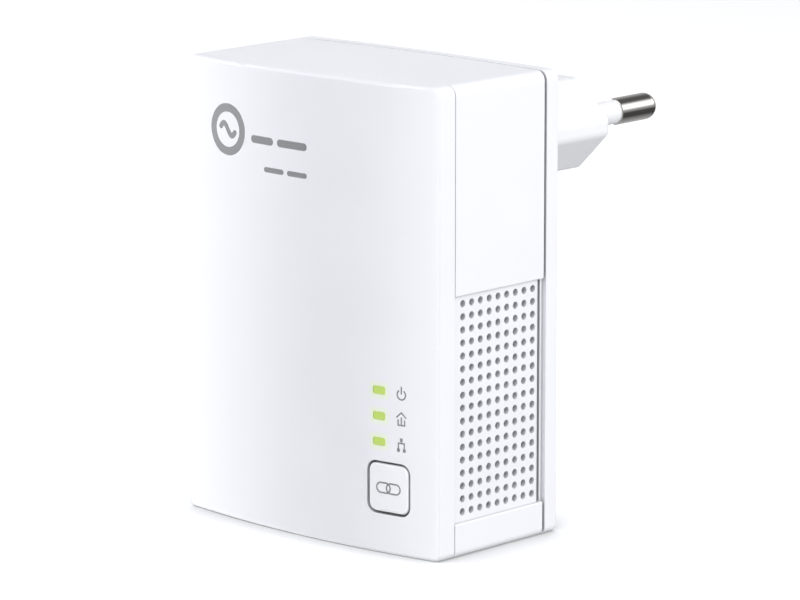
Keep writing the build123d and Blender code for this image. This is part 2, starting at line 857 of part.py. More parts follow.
main_boxes = {
    # name: (x, z, width, height, depth, edge radius)
    "soc_chip": (soc_x, soc_z, soc_size, soc_size, soc_depth, 0.3),
    "memory_chip": (-4.0, 24.5, 12.0, 8.0, 1.0, 0.3),
    "flash_chip": (11.8, 34.0, 5.3, 5.2, 1.8, 0.3),
    "crystal": (11.6, 41.6, 3.2, 2.5, 0.8, 0.3),
    "ethernet_magnetics": (-3.0, 12.0, 13.0, 9.4, 3.4, 0.4),
}
for name, sizes in main_boxes.items():
    main_part = box_part(main_board_front, *sizes)
    save(main_part, name)

with BuildPart() as thermal_pad:
    with BuildSketch(facing_front(main_board_front - soc_depth)):
        with Locations((soc_x, soc_z)):
            Rectangle(pad_size, pad_size)
    extrude(amount=pad_depth)
save(thermal_pad, "thermal_pad")

with BuildPart() as heat_sink:
    with BuildSketch(facing_front(main_board_front - soc_depth - pad_depth)):
        with Locations((soc_x, soc_z)):
            Rectangle(sink_size, sink_size)
    extrude(amount=sink_base)
    with BuildSketch(facing_front(main_board_front - soc_depth - pad_depth - sink_base)):
        with Locations((soc_x, soc_z)):
            with GridLocations((sink_size - fin_thickness) / (fin_count - 1), 0, fin_count, 1):
                Rectangle(fin_thickness, sink_size)
    extrude(amount=fin_height)
save(heat_sink, "heat_sink")

# ---------------------------------------------------------------- status lights

led_size = (1.6, 0.8)
led_depth = 0.6
pipe_clear = 0.03
pipe_body = (2.9, 2.0)
pipe_corner = 0.3
pipe_rear = main_board_front - 0.9
pipe_shoulder = inner_front_edge + 0.05
pipe_window = [size - 2 * pipe_clear for size in light_window]
pipe_face_recess = 0.05

pipe_shoulder_limits = housing_slab(
    cover_wall, pipe_shoulder, front_bow, far_rear, rear_bow
)
pipe_face_limits = housing_slab(
    cover_wall, front_edge + pipe_face_recess, front_bow, far_rear, rear_bow
)

for name, z in light_heights.items():
    with BuildPart() as led:
        with BuildSketch(facing_front(main_board_front)):
            with Locations((light_x, z)):
                Rectangle(led_size[0], led_size[1])
        extrude(amount=led_depth)
    save(led, f"led_{name}")

    with BuildPart() as pipe_foot:
        with BuildSketch(facing_front(pipe_rear)):
            with Locations((light_x, z)):
                RectangleRounded(pipe_body[0], pipe_body[1], pipe_corner)
        extrude(amount=-front_edge)
        add(pipe_shoulder_limits, mode=Mode.INTERSECT)

    with BuildPart() as light_pipe:
        with BuildSketch(facing_front(pipe_rear)):
            with Locations((light_x, z)):
                RectangleRounded(pipe_window[0], pipe_window[1], pipe_corner)
        extrude(amount=-front_edge)
        add(pipe_face_limits, mode=Mode.INTERSECT)
        add(pipe_foot.part)
    save(light_pipe, f"light_pipe_{name}")

# ---------------------------------------------------------------- pairing button and its switch

button_flange = 0.9  # how far the flange behind the cover stands out all round
button_flange_corner = 0.6
button_face_round = 0.3
flange_gap = 0.05
button_flange_rear = -10.2
nearly_flat = -0.001
stem_diameter = 3.0
stem_root = 0.4  # how far the stem runs into the cap
switch_size = 6.0
switch_corner = 0.3
switch_depth = 1.7
switch_lid = 0.25
plunger_diameter = 3.0
plunger_clear = 0.05
plunger_flange = 3.9
plunger_chamber = 4.3
plunger_flange_depth = 0.35
chamber_room = 0.3  # beyond the plunger's travel
chamber_depth = plunger_flange_depth + button_travel + chamber_room
plunger_tip = main_board_front - 2.5
contact_gap = 0.05

button_face_limits = housing_slab(0, front_edge, front_bow, button_flange_rear, nearly_flat)
button_flange_limits = housing_slab(
    cover_wall, inner_front_edge + flange_gap, front_bow, button_flange_rear, nearly_flat
)

with BuildPart() as button_foot:
    with BuildSketch(facing_front(0)):
        with Locations((button_x, button_z)):
            RectangleRounded(
                button_width + 2 * button_flange,
                button_height + 2 * button_flange,
                button_flange_corner,
            )
    extrude(amount=-far_front)
    add(button_flange_limits, mode=Mode.INTERSECT)

with BuildPart() as pair_button:
    with BuildSketch(facing_front(0)):
        with Locations((button_x, button_z)):
            RectangleRounded(button_width, button_height, button_corner)
    extrude(amount=-far_front)
    add(button_face_limits, mode=Mode.INTERSECT)
    fillet(pair_button.faces().sort_by(Axis.Y)[0].edges(), button_face_round)
    add(button_foot.part)
    with BuildSketch(facing_front(plunger_tip - contact_gap)):
        with Locations((button_x, button_z)):
            Circle(stem_diameter / 2)
    extrude(amount=plunger_tip - contact_gap - button_flange_rear + stem_root)
save(pair_button, "pair_button")

with BuildPart() as tact_switch:
    with BuildSketch(facing_front(main_board_front)):
        with Locations((button_x, button_z)):
            RectangleRounded(switch_size, switch_size, switch_corner)
    extrude(amount=switch_depth)
    with BuildSketch(facing_front(main_board_front - switch_depth + switch_lid + chamber_depth)):
        with Locations((button_x, button_z)):
            Circle(plunger_chamber / 2)
    extrude(amount=chamber_depth, mode=Mode.SUBTRACT)
    with BuildSketch(facing_front(main_board_front - switch_depth + switch_lid)):
        with Locations((button_x, button_z)):
            Circle(plunger_diameter / 2 + plunger_clear)
    extrude(amount=switch_depth, mode=Mode.SUBTRACT)
save(tact_switch, "tact_switch")

plunger_flange_front = main_board_front - switch_depth + switch_lid + plunger_clear

with BuildPart() as tact_plunger:
    with BuildSketch(facing_front(plunger_flange_front + plunger_flange_depth)):
        with Locations((button_x, button_z)):
            Circle(plunger_flange / 2)
    extrude(amount=plunger_flange_depth)
    with BuildSketch(facing_front(plunger_flange_front)):
        with Locations((button_x, button_z)):
            Circle(plunger_diameter / 2)
    extrude(amount=plunger_flange_front - plunger_tip)
save(tact_plunger, "tact_plunger")

# ---------------------------------------------------------------- Ethernet socket

insert_width = jack_width - 2 * shield_thickness
insert_depth = jack_depth - 2 * shield_thickness
cavity_width = 11.9
cavity_front = -2.6
cavity_rear = 4.2
cavity_length = 14.6
latch_width = 6.2
latch_rear = 6.3
latch_length = 9.0
channel_width = 8.4
channel_front = -3.6
channel_bottom = 1.8
tail_bottom = 16.4
tail_top = 18.0
wire_width = 0.45
wire_thickness = 0.3
wire_pitch = 1.02
wire_count = 8
shield_window_width = 9.2
shield_window_bottom = 15.8
shield_window_top = 18.6


def jack_pocket(width, front, rear, bottom, top):
    """A rectangular hollow to cut out of the Ethernet socket."""
    with BuildPart() as pocket:
        with BuildSketch(Plane.XY.offset(bottom)):
            with Locations((0, (front + rear) / 2)):
                Rectangle(width, rear - front)
        extrude(amount=top - bottom)
    return pocket.part


jack_front = jack_y - jack_depth / 2
insert_front = jack_front + shield_thickness
insert_top = jack_top - shield_thickness
cavity_top = jack_recess + cavity_length
jack_pockets = [
    jack_pocket(cavity_width, cavity_front, cavity_rear, jack_recess - beyond, cavity_top),
    jack_pocket(
        latch_width,
        cavity_rear - beyond,
        latch_rear,
        jack_recess - beyond,
        jack_recess + latch_length,
    ),
    jack_pocket(channel_width, channel_front, cavity_front + beyond, channel_bottom, tail_top),
    jack_pocket(channel_width, insert_front - beyond, cavity_front, tail_bottom, tail_top),
]

with BuildPart() as jack_housing:
    with BuildSketch(Plane.XY.offset(jack_recess)):
        with Locations((0, jack_y)):
            Rectangle(insert_width, insert_depth)
    extrude(amount=insert_top - jack_recess)
    for pocket in jack_pockets:
        add(pocket, mode=Mode.SUBTRACT)
save(jack_housing, "jack_housing")

with BuildPart() as jack_shield:
    with BuildSketch(Plane.XY.offset(jack_recess)):
        with Locations((0, jack_y)):
            Rectangle(jack_width, jack_depth)
    extrude(amount=jack_length)
    with BuildSketch(Plane.XY.offset(jack_recess)):
        with Locations((0, jack_y)):
            Rectangle(insert_width, insert_depth)
    extrude(amount=insert_top - jack_recess, mode=Mode.SUBTRACT)
    with BuildSketch(facing_front(jack_front - beyond)):
        with Locations((0, (shield_window_bottom + shield_window_top) / 2)):
            Rectangle(shield_window_width, shield_window_top - shield_window_bottom)
    extrude(amount=-beyond - shield_thickness, mode=Mode.SUBTRACT)
save(jack_shield, "jack_shield")

# Each contact wire rises from the board, runs down its channel, turns back at the mouth and
# slopes up into the cavity, where a plug's blade presses on it.
wire_floor = channel_front + wire_thickness / 2
tail_z = (tail_bottom + tail_top) / 2
fold_z = 2.9
fold_rise = 0.6
fold_run = 1.0
wire_bend = 0.3
free_end = (-0.35, 11.0)

with BuildPart() as jack_contacts:
    for wire in range(wire_count):
        wire_x = (wire - (wire_count - 1) / 2) * wire_pitch
        with BuildSketch(Plane.YZ.offset(wire_x)):
            with BuildLine():
                FilletPolyline(
                    (main_board_rear, tail_z),
                    (wire_floor, tail_z),
                    (wire_floor, fold_z - fold_rise),
                    (wire_floor + fold_run, fold_z),
                    free_end,
                    radius=wire_bend,
                )
            trace(line_width=wire_thickness)
        extrude(amount=wire_width / 2, both=True)
save(jack_contacts, "jack_contacts")
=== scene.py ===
import json
import math

import bmesh
import bpy
from mathutils import Matrix, Vector


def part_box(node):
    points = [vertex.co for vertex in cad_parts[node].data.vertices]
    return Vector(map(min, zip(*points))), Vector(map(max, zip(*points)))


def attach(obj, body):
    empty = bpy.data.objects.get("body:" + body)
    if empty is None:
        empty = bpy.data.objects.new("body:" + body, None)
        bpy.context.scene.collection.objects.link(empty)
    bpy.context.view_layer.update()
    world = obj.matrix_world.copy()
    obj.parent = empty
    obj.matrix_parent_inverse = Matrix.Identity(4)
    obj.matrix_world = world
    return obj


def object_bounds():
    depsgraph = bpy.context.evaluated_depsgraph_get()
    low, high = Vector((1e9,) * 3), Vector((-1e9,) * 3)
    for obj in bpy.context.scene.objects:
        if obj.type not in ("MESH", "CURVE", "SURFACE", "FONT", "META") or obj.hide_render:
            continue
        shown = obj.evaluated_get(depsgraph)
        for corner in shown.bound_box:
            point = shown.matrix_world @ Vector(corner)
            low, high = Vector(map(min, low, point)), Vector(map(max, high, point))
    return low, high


# The looks of the powerline adapter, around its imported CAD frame.
# Metres in Blender; the tables below are in millimetres, and MM turns them into metres.

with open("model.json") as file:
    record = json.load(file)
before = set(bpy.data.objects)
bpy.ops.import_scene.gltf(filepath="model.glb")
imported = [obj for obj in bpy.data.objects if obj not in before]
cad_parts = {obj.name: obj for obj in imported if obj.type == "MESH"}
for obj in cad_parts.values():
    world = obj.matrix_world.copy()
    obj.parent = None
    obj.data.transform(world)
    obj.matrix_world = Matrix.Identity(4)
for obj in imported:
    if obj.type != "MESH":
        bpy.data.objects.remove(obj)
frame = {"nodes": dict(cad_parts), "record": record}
cad_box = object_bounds()

MM = 0.001
nodes = frame["nodes"]

# ---------------------------------------------------------------- camera

camera_azimuth = math.radians(42.92)  # to the right of the front's normal
camera_elevation = math.radians(11.481)
camera_roll = math.radians(-0.018)
camera_distance = 0.65144
camera_lens = 210.4

housing_top = cad_box[1].z
front_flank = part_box("side_grille_right")[0].y - 3.1 * MM
camera_target = Vector((0.016858, front_flank, 0.036375))

away = Vector((
    math.sin(camera_azimuth) * math.cos(camera_elevation),
    -math.cos(camera_azimuth) * math.cos(camera_elevation),
    math.sin(camera_elevation),
))
right = Vector((math.cos(camera_azimuth), math.sin(camera_azimuth), 0.0))
up = away.cross(right)
turn = Matrix.Rotation(camera_roll, 3, away)

camera_data = bpy.data.cameras.new("camera")
camera_data.lens = camera_lens
camera_data.sensor_width = 36.0
camera_data.clip_start = 0.01
camera_data.clip_end = 20.0
camera = bpy.data.objects.new("camera", camera_data)
camera.matrix_world = Matrix.Translation(camera_target + away * camera_distance) @ (
    turn @ Matrix((right, up, away)).transposed()
).to_4x4()
bpy.context.scene.collection.objects.link(camera)
bpy.context.scene.camera = camera

# ---------------------------------------------------------------- node helpers


def srgb(red, green, blue):
    """A screen colour, 0 to 255 a channel, as the linear colour that shaders use."""
    linear = []
    for channel in (red, green, blue):
        value = channel / 255
        linear.append(value / 12.92 if value <= 0.04045 else ((value + 0.055) / 1.055) ** 2.4)
    return (*linear, 1.0)


def add(tree, kind, inputs=(), **settings):
    """A new node. inputs pairs each socket, by name or number, with a value or another socket."""
    made = tree.nodes.new(kind)
    for name, value in settings.items():
        setattr(made, name, value)
    for name, value in dict(inputs).items():
        if isinstance(value, bpy.types.NodeSocket):
            tree.links.new(value, made.inputs[name])
        else:
            made.inputs[name].default_value = value
    return made


def maths(tree, operation, first, second=0.0, clamp=False):
    made = add(tree, "ShaderNodeMath", {0: first, 1: second}, operation=operation)
    made.use_clamp = clamp
    return made.outputs[0]


def millimetres(tree, stretch=(1.0, 1.0, 1.0)):
    """The piece's own coordinates in millimetres, stretched along its axes."""
    own = add(tree, "ShaderNodeTexCoord").outputs["Object"]
    factors = [1000.0 * share for share in stretch]
    return add(
        tree, "ShaderNodeVectorMath", {0: own, 1: factors}, operation="MULTIPLY"
    ).outputs[0]


def noise(tree, vector, size, detail=2.0, rough=0.5):
    """Noise whose spots are about size millimetres across."""
    inputs = {"Vector": vector, "Scale": 1.0 / size, "Detail": detail, "Roughness": rough}
    return add(tree, "ShaderNodeTexNoise", inputs).outputs[0]


def remap(tree, value, low, high, from_low=0.0, from_high=1.0, smooth=False):
    inputs = {
        "Value": value, "From Min": from_low, "From Max": from_high, "To Min": low, "To Max": high,
    }
    kind = "SMOOTHSTEP" if smooth else "LINEAR"
    return add(tree, "ShaderNodeMapRange", inputs, interpolation_type=kind).outputs[0]


def mix(tree, factor, first, second):
    """A colour between first and second."""
    made = add(tree, "ShaderNodeMix", data_type="RGBA")
    for number, value in ((0, factor), (6, first), (7, second)):
        if isinstance(value, bpy.types.NodeSocket):
            tree.links.new(value, made.inputs[number])
        else:
            made.inputs[number].default_value = value
    return made.outputs[2]


def shaded(colour, factor):
    return (colour[0] * factor, colour[1] * factor, colour[2] * factor, 1.0)


class Finish:
    """One procedural material: colour, roughness and relief that vary over the surface."""

    def __init__(self, name, colour, spread=0.03, patch=9.0, roughness=0.35, rough_spread=0.06,
                 grain=0.25, relief=0.002, stretch=(1.0, 1.0, 1.0), **values):
        self.material = bpy.data.materials.new(name)
        self.material.use_nodes = True
        self.tree = self.material.node_tree
        self.tree.nodes.clear()
        self.shader = add(self.tree, "ShaderNodeBsdfPrincipled")
        output = add(self.tree, "ShaderNodeOutputMaterial", {"Surface": self.shader.outputs[0]})
        output.target = "ALL"
        for socket, value in values.items():
            label = socket.replace("_", " ").title().replace("Ior", "IOR")
            self.shader.inputs[label].default_value = value
        self.vector = millimetres(self.tree, stretch)
        clouds = noise(self.tree, self.vector, patch, 3.0)
        self.grain = noise(self.tree, self.vector, grain, 2.0, 0.6)
        blotches = mix(
            self.tree,
            remap(self.tree, clouds, 0.0, 1.0, 0.3, 0.7),
            shaded(colour, 1.0 - spread),
            colour,
        )
        self.colour = mix(
            self.tree,
            remap(self.tree, self.grain, 0.0, 0.5, 0.35, 0.65),
            blotches,
            shaded(colour, 1.0 - spread / 2),
        )
        self.set_colour(self.colour)
        self.set_roughness(remap(
            self.tree, clouds, roughness - rough_spread / 2, roughness + rough_spread / 2, 0.3, 0.7
        ))
        self.height = maths(self.tree, "MULTIPLY", self.grain, relief * MM)
        self.set_height(self.height)

    def set_colour(self, socket):
        self.colour = socket
        self.tree.links.new(socket, self.shader.inputs["Base Color"])

    def set_roughness(self, socket):
        self.tree.links.new(socket, self.shader.inputs["Roughness"])

    def set_height(self, socket):
        """Relief, as a height in metres."""
        self.height = socket
        bump = add(self.tree, "ShaderNodeBump", {"Height": socket, "Distance": 1.0})
        self.tree.links.new(bump.outputs[0], self.shader.inputs["Normal"])

    def axes(self):
        split = add(self.tree, "ShaderNodeSeparateXYZ", {0: self.vector})
        return split.outputs[0], split.outputs[1], split.outputs[2]

    def shade_crevices(self, reach, darkest):
        """Darkens the colour where the surface is hemmed in within reach millimetres, down to the share
        darkest of itself: painted shade in seams and holes, and a painted contact shadow where the floor
        uses it."""
        openness = add(self.tree, "ShaderNodeAmbientOcclusion", {"Distance": reach * MM}, samples=8)
        closed, open_air = 0.25, 0.85
        share = remap(self.tree, openness.outputs["AO"], darkest, 1.0, closed, open_air)
        tint = add(self.tree, "ShaderNodeCombineColor", {0: share, 1: share, 2: share}).outputs[0]
        darker = add(self.tree, "ShaderNodeMix", data_type="RGBA", blend_type="MULTIPLY")
        darker.inputs[0].default_value = 1.0
        self.tree.links.new(self.colour, darker.inputs[6])
        self.tree.links.new(tint, darker.inputs[7])
        self.set_colour(darker.outputs[2])


# ---------------------------------------------------------------- finishes

finishes = {}


def finish(slot, colour, **looks):
    made = Finish(slot, srgb(*colour), **looks)
    finishes[slot] = made
    return made


white_plastic = {"ior": 1.5, "specular_ior_level": 0.5}
finish("housing_white", (240, 240, 243), spread=0.015, roughness=0.34, relief=0.0012, **white_plastic)
finish("grille_white", (238, 238, 241), spread=0.04, roughness=0.46, grain=0.3, relief=0.02,
       **white_plastic)
finish("button_white", (246, 246, 248), spread=0.01, roughness=0.3, relief=0.001, **white_plastic)
finish("plug_white", (242, 242, 244), spread=0.02, roughness=0.3, relief=0.001, **white_plastic)
finish("light_green", (184, 212, 88), spread=0.05, roughness=0.3, relief=0.002, patch=0.8)
finish("print_grey", (84, 84, 88), spread=0.08, roughness=0.45, grain=0.1, relief=0.002)

# metals
metal = {"metallic": 1.0}
finish("pin_nickel", (205, 203, 200), roughness=0.13, rough_spread=0.05, grain=0.3, relief=0.0006,
       stretch=(1.0, 0.12, 1.0), **metal)
finish("contact_brass", (214, 178, 104), roughness=0.28, grain=0.3, relief=0.001, **metal)
finish("contact_gold", (232, 190, 92), roughness=0.22, grain=0.2, relief=0.0006, **metal)
finish("screw_steel", (178, 176, 172), roughness=0.3, grain=0.2, relief=0.002, **metal)
finish("sink_aluminium", (190, 192, 196), roughness=0.38, stretch=(1.0, 1.0, 0.08), relief=0.003,
       **metal)
finish("crystal_steel", (200, 198, 190), roughness=0.25, relief=0.001, **metal)
finish("shield_steel", (196, 196, 194), roughness=0.3, stretch=(1.0, 1.0, 0.1), relief=0.002, **metal)
finish("copper_wire", (190, 104, 52), roughness=0.25, grain=0.2, relief=0.001, **metal)

# circuit parts
finish("board_green", (24, 92, 58), spread=0.2, patch=3.0, roughness=0.4, grain=0.4, relief=0.01)
finish("barrier_film", (208, 190, 138), spread=0.06, roughness=0.35, relief=0.002)
finish("chip_black", (34, 34, 36), spread=0.15, roughness=0.55, grain=0.15, relief=0.006)
finish("fuse_brown", (112, 62, 40), spread=0.1, roughness=0.4, relief=0.003)
finish("varistor_blue", (34, 74, 150), spread=0.12, patch=2.0, roughness=0.35, grain=0.8, relief=0.02)
finish("film_box", (206, 170, 60), spread=0.06, roughness=0.4, relief=0.003)
finish("can_sleeve", (30, 34, 58), spread=0.1, roughness=0.3, relief=0.001)
finish("ferrite", (58, 56, 58), spread=0.2, patch=1.5, roughness=0.6, grain=0.12, relief=0.008)
finish("winding_tape", (226, 188, 72), spread=0.08, roughness=0.3, relief=0.003)
finish("bobbin_black", (38, 36, 36), spread=0.12, roughness=0.5, relief=0.004)
finish("thermal_grey", (150, 156, 166), spread=0.1, roughness=0.7, grain=0.2, relief=0.02)
finish("jack_black", (40, 40, 42), spread=0.15, roughness=0.5, grain=0.2, relief=0.005)
finish("led_white", (236, 232, 206), spread=0.05, roughness=0.4, relief=0.002)
finish("switch_black", (44, 44, 46), spread=0.1, roughness=0.45, relief=0.004)

for entry in frame["record"]["subparts"]:
    for held in nodes[entry["node"]].material_slots:
        held.material = finishes[entry["material_slot"]].material

# The lights glow through their windows, and a painted glow greens the white plastic around them
glow = finishes["light_green"]
glow.shader.inputs["Emission Color"].default_value = srgb(190, 222, 80)
glow.shader.inputs["Emission Strength"].default_value = 0.02

cover = finishes["housing_white"]
window_boxes = [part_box(f"light_pipe_{name}") for name in ("power", "powerline", "ethernet")]
window_half_width = 1.05
window_half_height = 0.55
painted_glow_reach = 0.9
painted_glow_strength = 0.6
painted_glow_depth = 1.0  # how far behind the windows' faces the painted glow starts to fade, and fades out over
x, y, z = cover.axes()
window_x = (window_boxes[0][0].x + window_boxes[0][1].x) / 2 / MM
beside = maths(cover.tree, "ABSOLUTE", maths(cover.tree, "SUBTRACT", x, window_x))
beside = maths(cover.tree, "MAXIMUM", maths(cover.tree, "SUBTRACT", beside, window_half_width), 0.0)
above = None
for low, high in window_boxes:
    window_z = (low.z + high.z) / 2 / MM
    offset = maths(cover.tree, "ABSOLUTE", maths(cover.tree, "SUBTRACT", z, window_z))
    above = offset if above is None else maths(cover.tree, "MINIMUM", above, offset)
above = maths(cover.tree, "MAXIMUM", maths(cover.tree, "SUBTRACT", above, window_half_height), 0.0)
distance = maths(
    cover.tree,
    "SQRT",
    maths(
        cover.tree,
        "ADD",
        maths(cover.tree, "MULTIPLY", beside, beside),
        maths(cover.tree, "MULTIPLY", above, above),
    ),
)
window_front = window_boxes[0][0].y / MM
on_the_front = remap(cover.tree, y, 1.0, 0.0, window_front + painted_glow_depth,
                     window_front + 2 * painted_glow_depth)
painted_glow = maths(
    cover.tree,
    "MULTIPLY",
    remap(cover.tree, distance, painted_glow_strength, 0.0, 0.0, painted_glow_reach),
    on_the_front,
)
# painted glow: the housing colour mixed toward green near the lit windows, fading with distance
cover.set_colour(mix(cover.tree, painted_glow, cover.colour, srgb(232, 246, 190)))

# painted shade: each white plastic darkened in its seams, grooves and holes
for slot, reach, darkest in (
    ("housing_white", 0.9, 0.55),
    ("grille_white", 0.9, 0.32),
    ("button_white", 0.6, 0.3),
    ("plug_white", 0.5, 0.55),
):
    finishes[slot].shade_crevices(reach, darkest)

# ---------------------------------------------------------------- printed marks


def arc(centre, radius, start, end, steps=24):
    """Points of an arc in X and Z, with its angles in degrees from +X towards +Z."""
    angles = [math.radians(start + (end - start) * step / steps) for step in range(steps + 1)]
    return [
        Vector((centre[0] + radius * math.cos(angle), centre[1] + radius * math.sin(angle)))
        for angle in angles
    ]


def stroke(points, width, closed=False, rounded=True):
    """(left, right, closed): the two edges of a line of ink along points, in X and Z."""
    points = [Vector(point) for point in points]
    half = width / 2
    if closed or not rounded:
        stations = [(point, half) for point in points]
    else:
        stations = round_ended(points, half)
    count = len(stations)
    left_edge = []
    right_edge = []
    for number, (point, reach) in enumerate(stations):
        before = stations[number - 1][0] if closed or number else point
        after = stations[(number + 1) % count][0] if closed or number < count - 1 else point
        incoming = (point - before).normalized()
        outgoing = (after - point).normalized()
        tangent = (incoming + outgoing).normalized()
        normal = Vector((-tangent.y, tangent.x))
        miter = reach / max(tangent.dot(outgoing), tangent.dot(incoming), 0.5)
        left_edge.append(point + normal * miter)
        right_edge.append(point - normal * miter)
    return left_edge, right_edge, closed


def round_ended(points, half):
    """(point, half width) along a line of points, with a round end inside each of its tips."""
    lengths = [0.0]
    for this, following in zip(points, points[1:]):
        lengths.append(lengths[-1] + (following - this).length)
    whole = lengths[-1]

    def place(length):
        for number, (start, end) in enumerate(zip(lengths, lengths[1:])):
            if length <= end or number == len(lengths) - 2:
                share = (length - start) / (end - start)
                return points[number].lerp(points[number + 1], share)

    caps = [math.radians(angle) for angle in (12, 32, 52, 72, 90)]
    cap_lengths = [(half * (1 - math.cos(angle)), half * math.sin(angle)) for angle in caps]
    begin = [(place(length), reach) for length, reach in cap_lengths]
    end = [(place(whole - length), reach) for length, reach in reversed(cap_lengths)]
    middle = [
        (point, half) for point, length in zip(points, lengths)
        if half * 1.05 < length < whole - half * 1.05
    ]
    return begin + middle + end


ink_above = 0.012 * MM
ink_below = 0.03 * MM


def printed(name, strokes, node, body, slot="print_grey"):
    """Ink on a CAD node's front: thin closed ribbons that follow its surface."""
    surface = nodes[node]
    mesh = bmesh.new()

    def on_surface(point):
        start = Vector((point.x * MM, cad_box[0].y - 0.01, point.y * MM))
        hit, place, _, _ = surface.ray_cast(start, Vector((0.0, 1.0, 0.0)))
        if not hit:
            raise ValueError(f"{name}: no surface of {node} behind ({point.x}, {point.y})")
        return place

    for left_edge, right_edge, closed in strokes:
        rings = []
        for left_point, right_point in zip(left_edge, right_edge):
            left_place = on_surface(left_point)
            right_place = on_surface(right_point)
            front = Vector((0.0, -ink_above, 0.0))
            back = Vector((0.0, ink_below, 0.0))
            rings.append([
                mesh.verts.new(place)
                for place in (left_place + front, right_place + front, right_place + back,
                              left_place + back)
            ])
        pairs = list(zip(rings, rings[1:]))
        if closed:
            pairs.append((rings[-1], rings[0]))
        for this, following in pairs:
            for corner in range(4):
                following_corner = (corner + 1) % 4
                mesh.faces.new((
                    this[corner], this[following_corner],
                    following[following_corner], following[corner],
                ))
        if not closed:
            mesh.faces.new(rings[0])
            mesh.faces.new(rings[-1][::-1])
    bmesh.ops.recalc_face_normals(mesh, faces=mesh.faces)
    data = bpy.data.meshes.new(name)
    mesh.to_mesh(data)
    mesh.free()
    data.materials.append(finishes[slot].material)
    piece = bpy.data.objects.new(name, data)
    bpy.context.scene.collection.objects.link(piece)
    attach(piece, body)
    return piece


icon_x = 18.35
line = 0.22

power_z = 23.25
printed(
    "icon_power",
    [
        stroke(arc((icon_x, power_z), 0.7, 122, 418), line),
        stroke([(icon_x, power_z + 1.22), (icon_x, power_z + 0.05)], line),
    ],
    "front_cover",
    "housing",
)

house_z = 19.74
printed(
    "icon_powerline",
    [
        stroke(
            [(icon_x - 0.86, house_z + 0.2), (icon_x, house_z + 0.95), (icon_x + 0.86, house_z + 0.2)],
            line,
        ),
        stroke(
            [(icon_x - 0.56, house_z), (icon_x - 0.56, house_z - 0.85), (icon_x + 0.56, house_z - 0.85),
             (icon_x + 0.56, house_z)],
            line,
        ),
        stroke([(icon_x, house_z + 0.35), (icon_x, house_z - 0.85)], line),
    ],
    "front_cover",
    "housing",
)

network_z = 16.03
square = 0.48
leg = 0.5


def solid_square(x_middle, z_middle):
    return stroke(
        [(x_middle - square / 2, z_middle), (x_middle + square / 2, z_middle)], square, rounded=False
    )


printed(
    "icon_ethernet",
    [
        solid_square(icon_x, network_z + 0.76),
        stroke([(icon_x, network_z + 0.7), (icon_x, network_z + 0.28)], line),
        stroke(
            [(icon_x - leg, network_z - 0.7), (icon_x - leg, network_z + 0.28),
             (icon_x + leg, network_z + 0.28), (icon_x + leg, network_z - 0.7)],
            line,
        ),
        solid_square(icon_x - leg, network_z - 0.74),
        solid_square(icon_x + leg, network_z - 0.74),
    ],
    "front_cover",
    "housing",
)

# a plain ring with a wave, and bars in place of words
mark_x = -15.1
mark_z = 57.1
mark_radius = 3.15
wave_reach = 1.75
wave_height = 0.85
wave = [
    (mark_x - wave_reach + 2 * wave_reach * step / 32,
     mark_z + wave_height * math.sin(2 * math.pi * step / 32))
    for step in range(33)
]
printed(
    "mark_ring",
    [stroke(arc((mark_x, mark_z), mark_radius, 0, 360, 72)[:-1], 1.2, closed=True), stroke(wave, 0.8)],
    "front_cover",
    "housing",
)
bars = [(-10.0, -5.4, 56.4, 1.1), (-4.6, 1.3, 56.4, 1.1), (-7.3, -3.3, 52.3, 0.75), (-2.6, 1.3, 52.3, 0.75)]


def even_line(x_start, x_end, z_middle, spacing=0.5):
    steps = max(2, round((x_end - x_start) / spacing))
    return [(x_start + (x_end - x_start) * step / steps, z_middle) for step in range(steps + 1)]


printed(
    "mark_bars",
    [stroke(even_line(start, end, middle), height) for start, end, middle, height in bars],
    "front_cover",
    "housing",
)

# two joined links on the pairing button
button_low, button_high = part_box("pair_button")
button_x = (button_low.x + button_high.x) / 2 / MM
button_z = (button_low.z + button_high.z) / 2 / MM
link_radius = 0.72
link_straight = 0.45
link_apart = 0.85


def link(x_middle, z_middle):
    return stroke(
        arc((x_middle + link_straight, z_middle), link_radius, -90, 90, 16)
        + arc((x_middle - link_straight, z_middle), link_radius, 90, 270, 16),
        0.24,
        closed=True,
    )


printed(
    "pair_glyph",
    [link(button_x - link_apart, button_z), link(button_x + link_apart, button_z)],
    "pair_button",
    "pairing_button",
)

# ---------------------------------------------------------------- floor and light


def emitter(tree, colour, strength):
    """A shader that shines with colour and strength, each a value or a socket."""
    return add(tree, "ShaderNodeEmission", {"Color": colour, "Strength": strength})


def only_seen_by(thing, *rays):
    """Hides an object from every kind of ray but the named ones."""
    for ray in ("camera", "diffuse", "glossy", "transmission", "volume_scatter", "shadow"):
        setattr(thing, f"visible_{ray}", ray in rays)


floor_half = 3.0
floor_drop = 0.02 * MM
# painted contact shadow on the floor: how far it reaches, in millimetres, and how dark it gets
painted_shadow_reach = 12.0
painted_shadow_darkest = 0.34
floor_mesh = bmesh.new()
bmesh.ops.create_grid(floor_mesh, x_segments=1, y_segments=1, size=floor_half)
floor_data = bpy.data.meshes.new("floor")
floor_mesh.to_mesh(floor_data)
floor_mesh.free()
floor = bpy.data.objects.new("floor", floor_data)
floor.location.z = -floor_drop
floor_finish = Finish("floor_paper", srgb(250, 250, 250), spread=0.004, patch=120.0, roughness=0.9,
                      grain=0.6, relief=0.0, specular_ior_level=0.0)
floor_finish.shader.inputs["Emission Color"].default_value = (1.0, 1.0, 1.0, 1.0)
floor_finish.shader.inputs["Emission Strength"].default_value = 0.14
# painted contact shadow: the floor, seen only by the camera, is darkened near the housing
floor_finish.shade_crevices(painted_shadow_reach, painted_shadow_darkest)
floor_data.materials.append(floor_finish.material)
bpy.context.scene.collection.objects.link(floor)
only_seen_by(floor, "camera")


